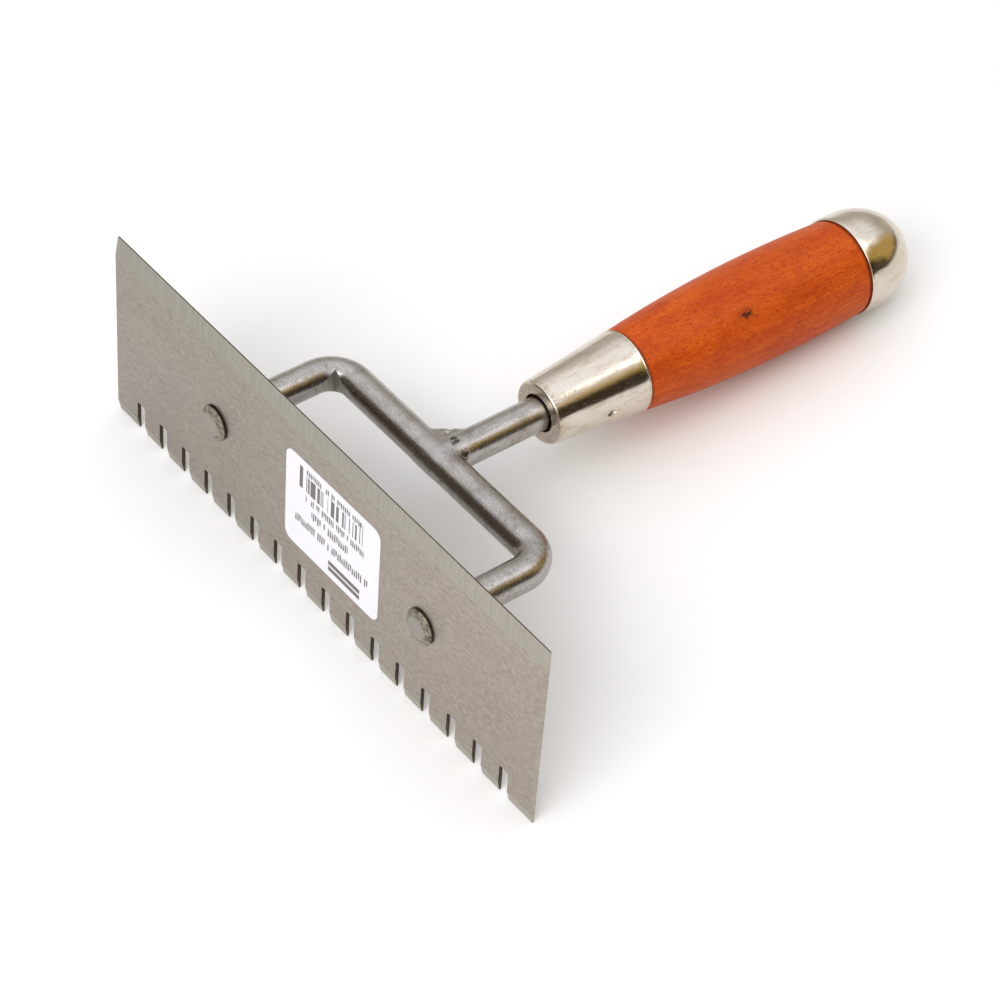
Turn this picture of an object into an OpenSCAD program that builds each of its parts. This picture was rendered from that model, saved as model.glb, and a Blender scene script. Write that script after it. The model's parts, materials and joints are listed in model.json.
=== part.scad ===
// Toothed finishing trowel: a spring-steel blade with one straight and one toothed
// edge, carried by a bent round bar whose ends are peened through the blade, and a
// turned wooden handle on a tang that is welded square to the bar.
//
// Tool axes, before the tool is laid down: X along the blade, Y from the blade's
// working face to the handle's end, Z from the toothed edge up to the straight edge.
// The finished part lies as it does on a bench, on its teeth and its end cap, with
// the origin in the middle of the ground that it covers.

/* [Blade] */
// Length of the blade along both working edges
blade_len = 180; // [176:1:260]
// Height of the blade from the toothed edge to the straight edge
blade_h = 60; // [52:1:90]
// Thickness of the blade sheet
blade_t = 1.2; // [0.9:0.1:2]
// Width of the ground bevel along the straight edge
edge_bevel_w = 5.8; // [3:0.1:10]
// Thickness left standing at the straight edge
edge_land = 0.3; // [0.1:0.05:0.8]
// Radius that breaks the corners of the straight edge
edge_corner_r = 0.8; // [0.2:0.1:4]

/* [Teeth] */
// Number of slots cut into the toothed edge
slot_count = 16; // [1:1:16]
// Distance from one slot to the next
slot_pitch = 10.5; // [8:0.1:11]
// Width of a slot
slot_w = 3.5; // [2:0.1:6]
// Depth of a slot from the tips of the teeth
slot_depth = 9.6; // [4:0.1:14]
// Radius in the two closed corners of a slot
slot_corner_r = 0.6; // [0.2:0.1:0.9]
// Width of the ground bevel across the teeth
tooth_bevel_w = 3.3; // [2:0.1:3.9]
// Thickness left standing at the tips of the teeth
tooth_land = 0.45; // [0.1:0.05:0.8]

/* [Bar] */
// Diameter of the bent bar
bar_d = 9.3; // [8:0.1:11]
// Distance between the centres of the bar's two legs
leg_spacing = 88; // [70:1:110]
// Distance from the blade's working face to the centre of the crossbar
bar_reach = 39.1; // [30:0.1:50]
// Radius of the bar's two bends, on its centre line
bend_r = 8; // [6:0.1:14]
// Diameter of the tenon that each leg pushes through the blade
tenon_d = 6.2; // [4:0.1:7.5]
// Height of a peened tenon head above the blade
head_h = 1.9; // [1.3:0.1:2.2]
// Widest diameter of a peened tenon head
head_d = 10; // [8:0.1:12]
// Diameter of the flat that is ground on a peened tenon head
head_flat_d = 6.2; // [4:0.1:7]

/* [Tang] */
// Diameter of the stem between the crossbar and the handle
stem_d = 9.5; // [7:0.1:10]
// Length of the square tapered tang inside the grip
tang_len = 60; // [40:1:70]
// Side of the square tang where it leaves the round stem
tang_root = 6.4; // [5:0.1:6.6]
// Side of the square tang at its far end
tang_tip = 3; // [2:0.1:5]
// Radius of the weld's hollow fillet between the stem and the crossbar
fillet_r = 6; // [3:0.1:8]
// How far the weld lies off centre, towards the side where it was laid
weld_offset = 1.6; // [0:0.1:2.5]

/* [Ferrule] */
// Distance from the blade's working face to the front of the ferrule
ferrule_reach = 71.2; // [64:0.1:90]
// Length of the ferrule
ferrule_len = 29.3; // [22:0.1:40]
// Diameter of the ferrule's front
ferrule_front_d = 18; // [16:0.1:20]
// Diameter of the ferrule's back, where it meets the grip
ferrule_back_d = 23.5; // [21:0.1:28]
// Thickness of the ferrule's sheet
ferrule_wall = 0.9; // [0.6:0.1:1.5]
// Thickness of the ferrule's front, round the hole for the stem
ferrule_front_wall = 1.6; // [1:0.1:3]
// Diameter of the hole that the stem passes through
ferrule_hole_d = 10.8; // [10.2:0.1:12]
// Radius that rounds the ferrule's front edge
ferrule_edge_r = 0.9; // [0.3:0.1:1.2]
// Diameter of the brad that pins the ferrule to the grip
brad_d = 1.3; // [1:0.1:2]
// Length of the brad
brad_len = 6; // [4:0.1:7]
// Distance from the ferrule's front to the brad
brad_reach = 16.4; // [6:0.1:20]
// Turn of the brad round the handle, from straight up towards +X
brad_turn = 93; // [0:1:360]

/* [Grip] */
// Length of the bare wood between the ferrule and the end cap
grip_len = 76; // [60:1:110]
// Largest diameter of the grip
grip_belly_d = 29.1; // [26:0.1:34]
// Distance from the ferrule to the largest diameter of the grip
belly_reach = 50; // [40:1:58]

/* [End cap] */
// Diameter of the end cap
cap_d = 28.7; // [26:0.1:34]
// Length of the end cap's straight wall
cap_wall_len = 5; // [3:0.1:8]
// Length of the end cap's dome
cap_dome_len = 16.6; // [12:0.1:24]
// Thickness of the end cap's sheet
cap_sheet = 0.8; // [0.5:0.1:1.2]
// Gap between the grip's shoulder and the end cap's rim
cap_gap = 0.35; // [0.1:0.05:0.8]

/* [Label] */
// Length of the paper label along the blade
label_len = 39.5; // [25:0.5:60]
// Height of the paper label
label_h = 31; // [20:0.5:36]
// Thickness of the paper label
label_t = 0.12; // [0.1:0.01:0.3]
// Radius of the paper label's corners
label_corner_r = 3; // [1:0.1:6]
// Distance from the blade's middle to the label's middle
label_shift = 6.9; // [0:0.1:8]
// Distance from the blade's middle up to the label's middle
label_lift = 1.2; // [-2:0.1:3]
// Turn of the label in the plane of the blade, in degrees
label_turn = 0.5; // [-2:0.1:2]

/* [Hidden] */
// Clearance of a glued or driven joint
fit_gap = 0.05;
// Overrun of a cutting tool past the face that it cuts
over = 1;
// Smoothness of round shapes, and of small ones
$fn = 64;
small_fn = 32;

half_h = blade_h / 2;
bar_r = bar_d / 2;
stem_r = stem_d / 2;
half_spacing = leg_spacing / 2;
head_r = head_d / 2;
head_flat_r = head_flat_d / 2;
// Widths, measured inwards, and heights of the corners on a tenon head's flank
head_foot_in = 0.35;
head_foot_h = 0.3;
head_rim_h = 0.7;
head_flank_in = 0.45;
head_flank_h = 1.1;

ferrule_back = ferrule_reach + ferrule_len;
ferrule_front_r = ferrule_front_d / 2;
ferrule_back_r = ferrule_back_d / 2;
ferrule_slope = (ferrule_back_r - ferrule_front_r) / ferrule_len;

grip_belly_r = grip_belly_d / 2;
// The wood stands this far inside the ferrule's back rim
grip_step = 0.1;
grip_front_r = ferrule_back_r - grip_step;
grip_end = ferrule_back + grip_len;
grip_curve = (grip_belly_r - grip_front_r) / pow(belly_reach, 2);
grip_steps = 36;

cap_r = cap_d / 2;
cap_bore_r = cap_r - cap_sheet;
// Chamfer on the cap's rim
cap_rim = 0.4;
cap_start = grip_end + cap_gap;
cap_shoulder = cap_start + cap_wall_len;
// The wood's spigot runs this far into the cap's dome, and its end is chamfered
spigot_len = cap_wall_len + 4;
spigot_chamfer = 1.5;
dome_steps = 20;

// The round stem ends inside the ferrule, this far behind its front
stem_entry = 5;
tang_start = ferrule_reach + stem_entry;

// The weld runs down the crossbar's flanks to this distance above the bar's centre
weld_foot = 1.5;
// The weld stands proud of the stem by this much, at its upper edge and at its sides
weld_lip = 0.2;
weld_half_w = max(stem_r, bar_r) + weld_lip;

// The tool lies on the tips of its teeth and on its end cap. The tangent of its tilt
// solves (lie_len^2 - cap_dome_len^2) x^2 - 2 half_h lie_len x + half_h^2 - cap_r^2 = 0.
lie_len = cap_shoulder - blade_t;
lie_square = pow(lie_len, 2) - pow(cap_dome_len, 2);
lie_root = sqrt(pow(half_h * lie_len, 2) - lie_square * (pow(half_h, 2) - pow(cap_r, 2)));
rest_tilt = atan((half_h * lie_len - lie_root) / lie_square);
rest_lift = blade_t * sin(rest_tilt) + half_h * cos(rest_tilt);

// Foremost and rearmost points of the tool as it lies
foremost = min((tooth_bevel_w - half_h) * sin(rest_tilt),
               -head_h * cos(rest_tilt) - head_flat_r * sin(rest_tilt));
rearmost = cap_shoulder * cos(rest_tilt)
    + sqrt(pow(cap_dome_len * cos(rest_tilt), 2) + pow(cap_r * sin(rest_tilt), 2));
rest_shift = -(foremost + rearmost) / 2;

// Radius of the bare wood at a distance from the ferrule
function grip_r(s) = grip_belly_r - grip_curve * pow(s - belly_reach, 2);

// Outer radius of the ferrule at a distance from its front
function ferrule_r(s) = ferrule_front_r + ferrule_slope * s;

// The brad's head lies this far under the ferrule's surface
brad_sunk = 0.25;
brad_foot = ferrule_r(brad_reach) - brad_sunk - brad_len;

// Lays the upright tool down on its teeth and end cap
module laid_down() {
    translate([0, rest_shift, rest_lift]) rotate([-rest_tilt, 0, 0]) children();
}

// Turns a profile of radius and distance round the handle's axis, along +Y
module turned(turn = 360) {
    rotate([-90, 0, 0]) rotate_extrude(angle = turn) children();
}

// Round bar along +Y that starts at y
module rod_y(r, y, len) {
    translate([0, y, 0]) rotate([-90, 0, 0]) cylinder(r = r, h = len);
}

// ---------------------------------------------------------------- blade

// Section of the blade, as y and z, with both bevels on the working face
module blade_section() {
    polygon([
        [0, tooth_bevel_w - half_h],
        [blade_t - tooth_land, -half_h],
        [blade_t, -half_h],
        [blade_t, half_h],
        [blade_t - edge_land, half_h],
        [0, half_h - edge_bevel_w]
    ]);
}

// Slot with two rounded closed corners, open downwards, with its tips at z = 0
module slot_outline() {
    inner_w = slot_w - 2 * slot_corner_r;
    straight = slot_depth - slot_corner_r;
    translate([-slot_w / 2, -over])
        square([slot_w, straight + over]);
    translate([-inner_w / 2, 0])
        square([inner_w, slot_depth]);
    for (side = [-1, 1])
        translate([side * inner_w / 2, straight]) circle(r = slot_corner_r, $fn = small_fn);
}

// Waste that leaves a rounded corner when it is cut from the end of the straight edge
module corner_waste() {
    difference() {
        translate([-edge_corner_r, -edge_corner_r])
            square([edge_corner_r + over, edge_corner_r + over]);
        translate([-edge_corner_r, -edge_corner_r]) circle(r = edge_corner_r, $fn = small_fn);
    }
}

// Pushes an outline drawn as x and z through the blade
module through_blade() {
    translate([0, blade_t + over, 0]) rotate([90, 0, 0])
        linear_extrude(height = blade_t + 2 * over) children();
}

module blade() color([0.66, 0.63, 0.58]) laid_down() {
    difference() {
        rotate([90, 0, 90]) translate([0, 0, -blade_len / 2])
            linear_extrude(height = blade_len) blade_section();
        for (i = [0 : slot_count - 1])
            translate([(i - (slot_count - 1) / 2) * slot_pitch, 0, -half_h])
                through_blade() slot_outline();
        for (side = [0, 1]) mirror([side, 0, 0])
            translate([blade_len / 2, 0, half_h]) through_blade() corner_waste();
        for (side = [-1, 1])
            translate([side * half_spacing, 0, 0]) rod_y(tenon_d / 2, -over, blade_t + 2 * over);
    }
}

// ---------------------------------------------------------------- stirrup

// Peened tenon head on the blade's working face, turned round the leg's axis
module tenon_head() {
    turned() polygon([
        [0, 0],
        [head_r - head_foot_in, 0],
        [head_r, -head_foot_h],
        [head_r, -head_rim_h],
        [head_r - head_flank_in, -head_flank_h],
        [head_flat_r, -head_h],
        [0, -head_h]
    ]);
}

// One half of the bent bar: crossbar half, bend, leg, tenon and head
module stirrup_half() {
    bend_x = half_spacing - bend_r;
    bend_y = bar_reach - bend_r;
    translate([0, bar_reach, 0]) rotate([0, 90, 0]) cylinder(r = bar_r, h = bend_x);
    translate([bend_x, bend_y, 0]) rotate_extrude(angle = 90)
        translate([bend_r, 0]) circle(r = bar_r);
    translate([half_spacing, 0, 0]) {
        rod_y(bar_r, blade_t, bend_y - blade_t);
        rod_y(tenon_d / 2, 0, blade_t);
        tenon_head();
    }
}

module stirrup() color([0.62, 0.60, 0.58]) laid_down() {
    stirrup_half();
    mirror([1, 0, 0]) stirrup_half();
}

// ---------------------------------------------------------------- stem and weld

// Square bar along +Y that tapers from one side to another, with a slack all round
module square_taper(y, len, root, tip, slack) {
    root_r = root / 2 + slack;
    tip_r = tip / 2 + slack;
    taper = [[-root_r, y], [root_r, y], [tip_r, y + len + slack], [-tip_r, y + len + slack]];
    intersection() {
        translate([0, 0, -root_r]) linear_extrude(height = 2 * root_r) polygon(taper);
        rotate([0, 90, 0]) translate([0, 0, -root_r])
            linear_extrude(height = 2 * root_r) polygon(taper);
    }
}

// Crossbar's own surface, which the stem and the weld are fitted to
module crossbar_seat() {
    translate([0, bar_reach, 0]) rotate([0, 90, 0])
        cylinder(r = bar_r, h = leg_spacing, center = true);
}

module stem() color([0.62, 0.60, 0.58]) laid_down() {
    difference() {
        rod_y(stem_r, bar_reach, tang_start - bar_reach);
        crossbar_seat();
    }
    square_taper(tang_start, tang_len, tang_root, tang_tip, 0);
}

// Hollow-flanked collar round +Y: wide on the crossbar, thin where it runs up the stem
module hollow_collar(r, foot_y, top_y) {
    difference() {
        rod_y(r + fillet_r, foot_y, top_y - foot_y);
        translate([0, top_y, 0]) turned() translate([r + fillet_r, 0]) circle(r = fillet_r);
    }
}

module weld_bead() color([0.64, 0.61, 0.58]) laid_down() {
    foot_y = bar_reach + weld_foot;
    top_y = bar_reach + bar_r + fillet_r;
    difference() {
        intersection() {
            translate([-weld_offset, 0, 0]) hollow_collar(stem_r + weld_lip - weld_offset, foot_y, top_y);
            translate([-leg_spacing / 2, bar_reach, -weld_half_w])
                cube([leg_spacing, top_y - bar_reach, 2 * weld_half_w]);
        }
        rod_y(stem_r, bar_reach, top_y - bar_reach + over);
        crossbar_seat();
    }
}

// ---------------------------------------------------------------- ferrule

// Outline of the ferrule from its hole round the front edge to its back rim
module ferrule_outline() {
    edge = [for (a = [0 : 15 : 90])
        [ferrule_front_r - ferrule_edge_r * (1 - sin(a)),
         ferrule_reach + ferrule_edge_r * (1 - cos(a))]];
    difference() {
        polygon(concat(
            [[0, ferrule_reach]],
            edge,
            [[ferrule_back_r, ferrule_back], [0, ferrule_back]]
        ));
        polygon([
            [-over, ferrule_reach + ferrule_front_wall],
            [ferrule_r(ferrule_front_wall) - ferrule_wall, ferrule_reach + ferrule_front_wall],
            [ferrule_back_r - ferrule_wall, ferrule_back],
            [ferrule_back_r - ferrule_wall, ferrule_back + over],
            [-over, ferrule_back + over]
        ]);
        translate([-over, ferrule_reach - over])
            square([ferrule_hole_d / 2 + over, ferrule_front_wall + 2 * over]);
    }
}

// Line of the brad: square to the handle's axis, from outside to the axis
module brad_line() {
    translate([0, ferrule_reach + brad_reach, 0]) rotate([0, brad_turn, 0]) children();
}

module ferrule() color([0.80, 0.76, 0.68]) laid_down() {
    difference() {
        turned() ferrule_outline();
        brad_line()
            cylinder(r = brad_d / 2 + fit_gap, h = ferrule_back_r + over, $fn = small_fn);
    }
}

module ferrule_brad() color([0.42, 0.38, 0.32]) laid_down() {
    brad_line() translate([0, 0, brad_foot])
        cylinder(r = brad_d / 2, h = brad_len, $fn = small_fn);
}

// ---------------------------------------------------------------- grip

// Outline of the wood: cone inside the ferrule, bare swell and spigot inside the cap
module grip_outline() {
    nose = ferrule_reach + ferrule_front_wall + fit_gap;
    nose_r = ferrule_r(ferrule_front_wall) - ferrule_wall - fit_gap;
    spigot_r = cap_bore_r - fit_gap;
    swell = [for (i = [0 : grip_steps]) let (s = grip_len * i / grip_steps)
        [grip_r(s), ferrule_back + s]];
    polygon(concat(
        [[0, nose], [nose_r, nose], [ferrule_back_r - ferrule_wall - fit_gap, ferrule_back]],
        swell,
        [[spigot_r, grip_end],
         [spigot_r, grip_end + spigot_len - spigot_chamfer],
         [spigot_r - spigot_chamfer, grip_end + spigot_len],
         [0, grip_end + spigot_len]]
    ));
}

module grip() color([0.80, 0.34, 0.14]) laid_down() {
    socket = ferrule_reach + ferrule_front_wall;
    difference() {
        turned() grip_outline();
        square_taper(tang_start, tang_len, tang_root, tang_tip, fit_gap);
        rod_y(stem_r + fit_gap, socket - over, tang_start - socket + over);
        brad_line() translate([0, 0, brad_foot - fit_gap])
            cylinder(r = brad_d / 2 + fit_gap, h = brad_len + over, $fn = small_fn);
    }
}

// ---------------------------------------------------------------- end cap

// Quarter of the cap's dome, as radius and distance, shrunk by the sheet inside
function dome(r, len) = [for (i = [0 : dome_steps]) let (a = 90 * i / dome_steps)
    [r * cos(a), cap_shoulder + len * sin(a)]];

module end_cap() color([0.82, 0.79, 0.74]) laid_down() {
    turned() difference() {
        polygon(concat(
            [[0, cap_start], [cap_r - cap_rim, cap_start], [cap_r, cap_start + cap_rim]],
            dome(cap_r, cap_dome_len)
        ));
        polygon(concat(
            [[-over, cap_start - over], [cap_bore_r, cap_start - over]],
            dome(cap_bore_r, cap_dome_len - cap_sheet),
            [[-over, cap_shoulder + cap_dome_len - cap_sheet]]
        ));
    }
}

// ---------------------------------------------------------------- label

module label_outline() {
    in_x = label_len / 2 - label_corner_r;
    in_z = label_h / 2 - label_corner_r;
    square([label_len, 2 * in_z], center = true);
    square([2 * in_x, label_h], center = true);
    for (sx = [-1, 1], sz = [-1, 1])
        translate([sx * in_x, sz * in_z]) circle(r = label_corner_r, $fn = small_fn);
}

module label() color([0.90, 0.89, 0.91]) laid_down() {
    translate([label_shift, 0, label_lift]) rotate([90, -label_turn, 0])
        linear_extrude(height = label_t) label_outline();
}

blade();
stirrup();
stem();
weld_bead();
ferrule();
ferrule_brad();
grip();
end_cap();
label();
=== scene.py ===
"""Toothed finishing trowel: a steel blade peened to a bent bar, with a turned wooden handle."""
import json
import math

import bmesh
import bpy
from mathutils import Euler, Matrix, Vector


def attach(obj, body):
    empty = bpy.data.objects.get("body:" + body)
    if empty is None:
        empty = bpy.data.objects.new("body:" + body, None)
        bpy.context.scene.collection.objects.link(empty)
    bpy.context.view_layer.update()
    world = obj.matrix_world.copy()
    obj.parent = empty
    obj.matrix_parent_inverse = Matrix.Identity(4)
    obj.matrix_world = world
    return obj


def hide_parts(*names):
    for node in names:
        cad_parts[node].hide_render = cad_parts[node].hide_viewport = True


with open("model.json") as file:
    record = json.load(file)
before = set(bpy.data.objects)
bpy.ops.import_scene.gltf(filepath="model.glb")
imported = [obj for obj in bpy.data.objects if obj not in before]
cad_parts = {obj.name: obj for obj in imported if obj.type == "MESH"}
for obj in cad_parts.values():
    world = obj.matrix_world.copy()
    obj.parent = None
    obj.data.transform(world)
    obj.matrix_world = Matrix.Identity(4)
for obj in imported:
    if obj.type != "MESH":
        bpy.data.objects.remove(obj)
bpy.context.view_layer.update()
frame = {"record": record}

# ------------------------------------------------------------ sizes, in millimetres
# Upright tool: x along the blade, y from its working face to the handle's end, z up.

BLADE_LEN, BLADE_H, BLADE_T = 180.0, 60.0, 1.2
EDGE_BEVEL, EDGE_LAND = 5.8, 0.3
TOOTH_BEVEL, TOOTH_LAND = 3.3, 0.45
SLOTS, SLOT_PITCH, SLOT_W, SLOT_DEPTH, SLOT_CORNER = 16, 10.5, 3.5, 9.6, 0.6
CORNER_R = 0.4

BAR_R, LEG_X, BAR_Y, BEND_R = 4.65, 44.0, 39.1, 8.0
TENON_R, HEAD_R, HEAD_FLAT_R, HEAD_H = 3.1, 5.0, 2.8, 1.9
STEM_R = 4.75

# Peened head, ring by ring outwards from the blade: step along the tenon, then radius
HEAD_RINGS = (
    (0.0, HEAD_R - 0.35), (0.3, HEAD_R), (0.4, HEAD_R), (0.4, HEAD_R - 0.45),
    (0.55, HEAD_FLAT_R + 0.45), (0.2, HEAD_FLAT_R + 0.05), (0.05, HEAD_FLAT_R - 0.25),
)
# Flats filed inside the bends: side, depth past the bar's skin, taper along the bar
FILED = ((-1, 0.50, 0.70), (1, 0.22, 0.45))
FILE_SIZE = 12.0
# The weld laps over bar and stem, and thins out to nothing below their skins
WELD_LAP, WELD_THIN = 0.22, 0.35

FERRULE_Y, FERRULE_LEN = 71.2, 29.3
FERRULE_FRONT_R, FERRULE_BACK_R, FERRULE_WALL, FERRULE_HOLE_R = 9.0, 11.75, 0.9, 5.4
FERRULE_SLOPE = (FERRULE_BACK_R - FERRULE_FRONT_R) / FERRULE_LEN
FERRULE_FRONT_T = 1.6
FERRULE_FRONT_INNER = FERRULE_FRONT_R + FERRULE_SLOPE * FERRULE_FRONT_T - FERRULE_WALL
BRAD_R, BRAD_LEN, BRAD_Y, BRAD_TURN = 0.65, 6.0, 16.4, 93.0
TANG_Y, TANG_LEN, TANG_ROOT, TANG_TIP = 76.2, 60.0, 6.4, 3.0

GRIP_Y, GRIP_LEN, GRIP_FRONT_R, GRIP_BELLY_R, BELLY_Y = 100.5, 76.0, 11.65, 14.55, 50.0
CAP_Y, CAP_R, CAP_WALL, CAP_DOME, CAP_SHEET = 176.85, 14.35, 5.0, 16.6, 0.8

LABEL_W, LABEL_H, LABEL_T, LABEL_CORNER = 39.5, 31.0, 0.12, 3.0
LABEL_X, LABEL_Z, LABEL_TURN = 6.9, 1.2, 0.5

# Clearance between wood and metal, distance at which two points are one, and near enough
CLEARANCE, DOUBLE_GAP, NEAR = 0.05, 1e-3, 0.01

TAU = 2 * math.pi
QUARTER = math.pi / 2
MM = 0.001

# The record's grip mount says where the handle's axis runs as the tool lies
grip_mount = next(m for m in frame["record"]["mounts"] if m["name"] == "hand_grip")
AXIS = Vector(grip_mount["axis"])
TILT = math.atan2(-AXIS.z, AXIS.y)
TOOL_ZERO = Vector(grip_mount["pos_m"]) - AXIS * (GRIP_Y + GRIP_LEN / 2) * MM


# ------------------------------------------------------------ modelling steps


def fresh(add, name, **how):
    """Adds a primitive with nothing else selected, named, and ready for edit mode."""
    bpy.ops.object.select_all(action="DESELECT")
    add(**how)
    piece = bpy.context.object
    piece.name = piece.data.name = name
    return piece


def only(piece):
    """Makes a piece the one that is selected and active."""
    bpy.ops.object.select_all(action="DESELECT")
    piece.select_set(True)
    bpy.context.view_layer.objects.active = piece


def edit(piece, mode="VERT"):
    only(piece)
    bpy.ops.object.mode_set(mode="EDIT")
    bpy.ops.mesh.select_mode(type=mode)
    bpy.ops.mesh.select_all(action="DESELECT")


def done():
    bpy.ops.object.mode_set(mode="OBJECT")


def pick(piece, kind, test):
    """Selects the verts, edges or faces whose place, or whose own self, passes a test."""
    mesh = bmesh.from_edit_mesh(piece.data)
    bpy.ops.mesh.select_all(action="DESELECT")
    chosen = [part for part in getattr(mesh, kind) if test(part)]
    for part in chosen:
        part.select_set(True)
    mesh.select_flush_mode()
    bmesh.update_edit_mesh(piece.data)
    return len(chosen)


def middle(part):
    """Middle of an edge or a face."""
    return sum((v.co for v in part.verts), Vector()) / len(part.verts)


def close_up():
    """Merges doubles and turns every face outwards, in edit mode."""
    bpy.ops.mesh.select_all(action="SELECT")
    bpy.ops.mesh.remove_doubles(threshold=DOUBLE_GAP)
    bpy.ops.mesh.delete_loose()
    bpy.ops.mesh.select_all(action="SELECT")
    bpy.ops.mesh.normals_make_consistent(inside=False)


def modify(piece, kind, **settings):
    """Adds a modifier and applies it."""
    only(piece)
    modifier = piece.modifiers.new(kind.lower(), kind)
    for key, value in settings.items():
        setattr(modifier, key, value)
    bpy.ops.object.modifier_apply(modifier=modifier.name)


def smooth(piece, degrees):
    only(piece)
    bpy.ops.object.shade_smooth_by_angle(angle=math.radians(degrees))


def join(piece, *others):
    only(piece)
    for other in others:
        other.select_set(True)
    bpy.ops.object.join()
    return piece


def twin(piece, name):
    """A copy of a piece with its own mesh."""
    only(piece)
    bpy.ops.object.duplicate(linked=False)
    copy = bpy.context.object
    copy.name = copy.data.name = name
    return copy


def settle(piece):
    """Applies a piece's place, turn and scale to its mesh."""
    only(piece)
    bpy.ops.object.transform_apply(location=True, rotation=True, scale=True)
    return piece


def hand_over(piece, node, slot, *materials):
    """Lays an upright piece down where its CAD node lies, and puts it in that node's place."""
    piece.data.materials.clear()
    for material in materials:
        piece.data.materials.append(material)
    piece.matrix_world = (
        Matrix.Translation(TOOL_ZERO) @ Matrix.Rotation(-TILT, 4, "X") @ Matrix.Scale(MM, 4)
    )
    settle(piece)
    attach(piece, "root")
    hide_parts(node)


def box(name, scale, location, rotation=(0, 0, 0)):
    """A block of a given size."""
    return settle(fresh(
        bpy.ops.mesh.primitive_cube_add, name, size=1, scale=scale, location=location,
        rotation=rotation,
    ))


def ring(name, radius, location, rotation, corners, filled=True):
    """A round ring of edges, selected in edit mode, with its inside filled or left open."""
    piece = settle(fresh(
        bpy.ops.mesh.primitive_circle_add, name, vertices=corners, radius=radius,
        location=location, rotation=rotation,
    ))
    edit(piece)
    bpy.ops.mesh.select_all(action="SELECT")
    if filled:
        bpy.ops.mesh.edge_face_add()
    return piece


def draw_line(name, points):
    """Draws a line of edges through points by extruding one vertex, and stays in edit mode."""
    piece = fresh(bpy.ops.mesh.primitive_plane_add, name, size=1)
    edit(piece)
    bpy.ops.mesh.select_all(action="SELECT")
    bpy.ops.mesh.merge(type="CENTER")
    bpy.ops.transform.translate(value=points[0])
    for here, there in zip(points, points[1:]):
        step = Vector(there) - Vector(here)
        bpy.ops.mesh.extrude_vertices_move(TRANSFORM_OT_translate={"value": step})
    return piece


def turned(name, outline, steps):
    """Turns an outline of (radius, distance) round the handle's axis."""
    piece = draw_line(name, [(radius, distance, 0) for radius, distance in outline])
    bpy.ops.mesh.select_all(action="SELECT")
    bpy.ops.mesh.spin(steps=steps, angle=TAU, center=(0, 0, 0), axis=(0, 1, 0))
    close_up()
    done()
    return piece


def arc(radius, middle_r, middle_y, start, stop, steps):
    """Points of an arc in an outline, with angles from the radius towards the distance."""
    angles = [math.radians(start + (stop - start) * i / steps) for i in range(steps + 1)]
    return [
        (middle_r + radius * math.cos(a), middle_y + radius * math.sin(a)) for a in angles
    ]


def pull_ring(step, scale=1.0):
    """Extrudes the selected ring by a step, then scales the new ring."""
    bpy.ops.mesh.extrude_region_move(TRANSFORM_OT_translate={"value": step})
    if scale != 1.0:
        bpy.ops.transform.resize(value=(scale, scale, scale))


def pull_tube(step, runs):
    """Extrudes the selected ring by a step, in equal runs."""
    for _ in range(runs):
        pull_ring(tuple(part / runs for part in step))


def cut_away(piece, cutter):
    """Cuts a shape out of a piece, then throws the shape away."""
    modify(piece, "BOOLEAN", operation="DIFFERENCE", solver="EXACT", object=cutter)
    bpy.data.objects.remove(cutter)


def ripple(piece, size, depth):
    """Moves a surface in and out by a fine cloud pattern."""
    pattern = bpy.data.textures.new("ripple", "CLOUDS")
    pattern.noise_scale = size
    pattern.noise_depth = 2
    modify(
        piece, "DISPLACE", texture=pattern, strength=depth, mid_level=0.5,
        texture_coords="LOCAL",
    )


# ------------------------------------------------------------ shader maths


class Value:
    """A socket of a finish, so that shader maths reads as arithmetic."""

    def __init__(self, finish, socket):
        self.finish = finish
        self.socket = socket

    def maths(self, operation, *others):
        sockets = dict(enumerate((self, *others)))
        return self.finish.node("ShaderNodeMath", {"operation": operation}, sockets)

    def __add__(self, other):
        return self.maths("ADD", other)

    def __sub__(self, other):
        return self.maths("SUBTRACT", other)

    def __rsub__(self, other):
        return (self * -1).maths("ADD", other)

    def __mul__(self, other):
        return self.maths("MULTIPLY", other)

    def __truediv__(self, other):
        return self.maths("DIVIDE", other)

    def __gt__(self, other):
        return self.maths("GREATER_THAN", other)

    def __lt__(self, other):
        return self.maths("LESS_THAN", other)

    def __abs__(self):
        return self.maths("ABSOLUTE")

    __radd__ = __add__

    def power(self, exponent):
        return self.maths("POWER", exponent)

    def least(self, other):
        return self.maths("MINIMUM", other)

    def most(self, other):
        return self.maths("MAXIMUM", other)

    def wrapped(self, period):
        return self.maths("FLOORED_MODULO", period)

    def ramp(self, low, high):
        """0 below low, 1 above high, smooth between; low may be the larger."""
        return self.finish.node(
            "ShaderNodeMapRange", {"interpolation_type": "SMOOTHSTEP"},
            {"Value": self, "From Min": low, "From Max": high},
        )


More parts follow.
